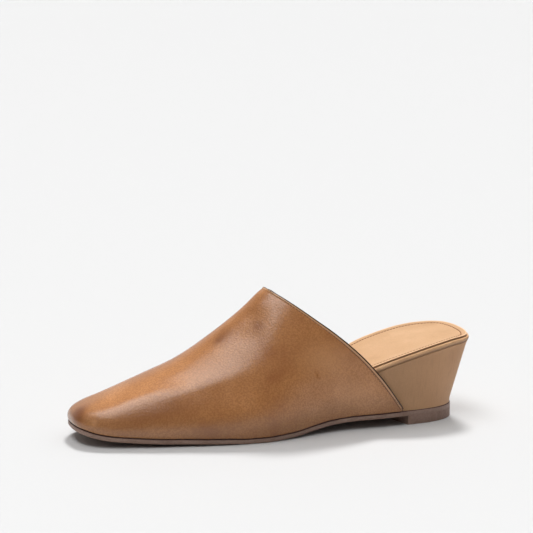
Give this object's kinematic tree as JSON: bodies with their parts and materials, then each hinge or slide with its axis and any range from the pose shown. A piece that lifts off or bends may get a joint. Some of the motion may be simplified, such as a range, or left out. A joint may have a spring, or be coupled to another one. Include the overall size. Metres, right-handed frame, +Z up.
{
  "type": "wedge mule",
  "caption": "Left leather mule on a low covered wedge: closed square-toed vamp, open heel, thin sole and heel lift.",
  "frame": {"origin": "on the floor, under the middle of the shoe's bounding box", "axes": "+X along the shoe from toe to heel, +Y towards the inner side of the foot, +Z up"},
  "size_m": [0.2614, 0.085, 0.09],
  "materials": {
    "upper_leather": "polished tan calf with a fine grain",
    "wedge_leather": "matt taupe-tan leather cover",
    "insole_leather": "smooth tan leather wrap",
    "sock_leather": "matt pale tan lining leather",
    "sole_leather": "dark taupe-brown sealed edge",
    "lift_rubber": "dark taupe-brown, matt"
  },
  "bodies": {
    "root": {"upper": "upper_leather", "insole": "insole_leather", "sock": "sock_leather", "wedge": "wedge_leather", "outsole": "sole_leather", "heel_lift": "lift_rubber"}
  },
  "joints": []
}
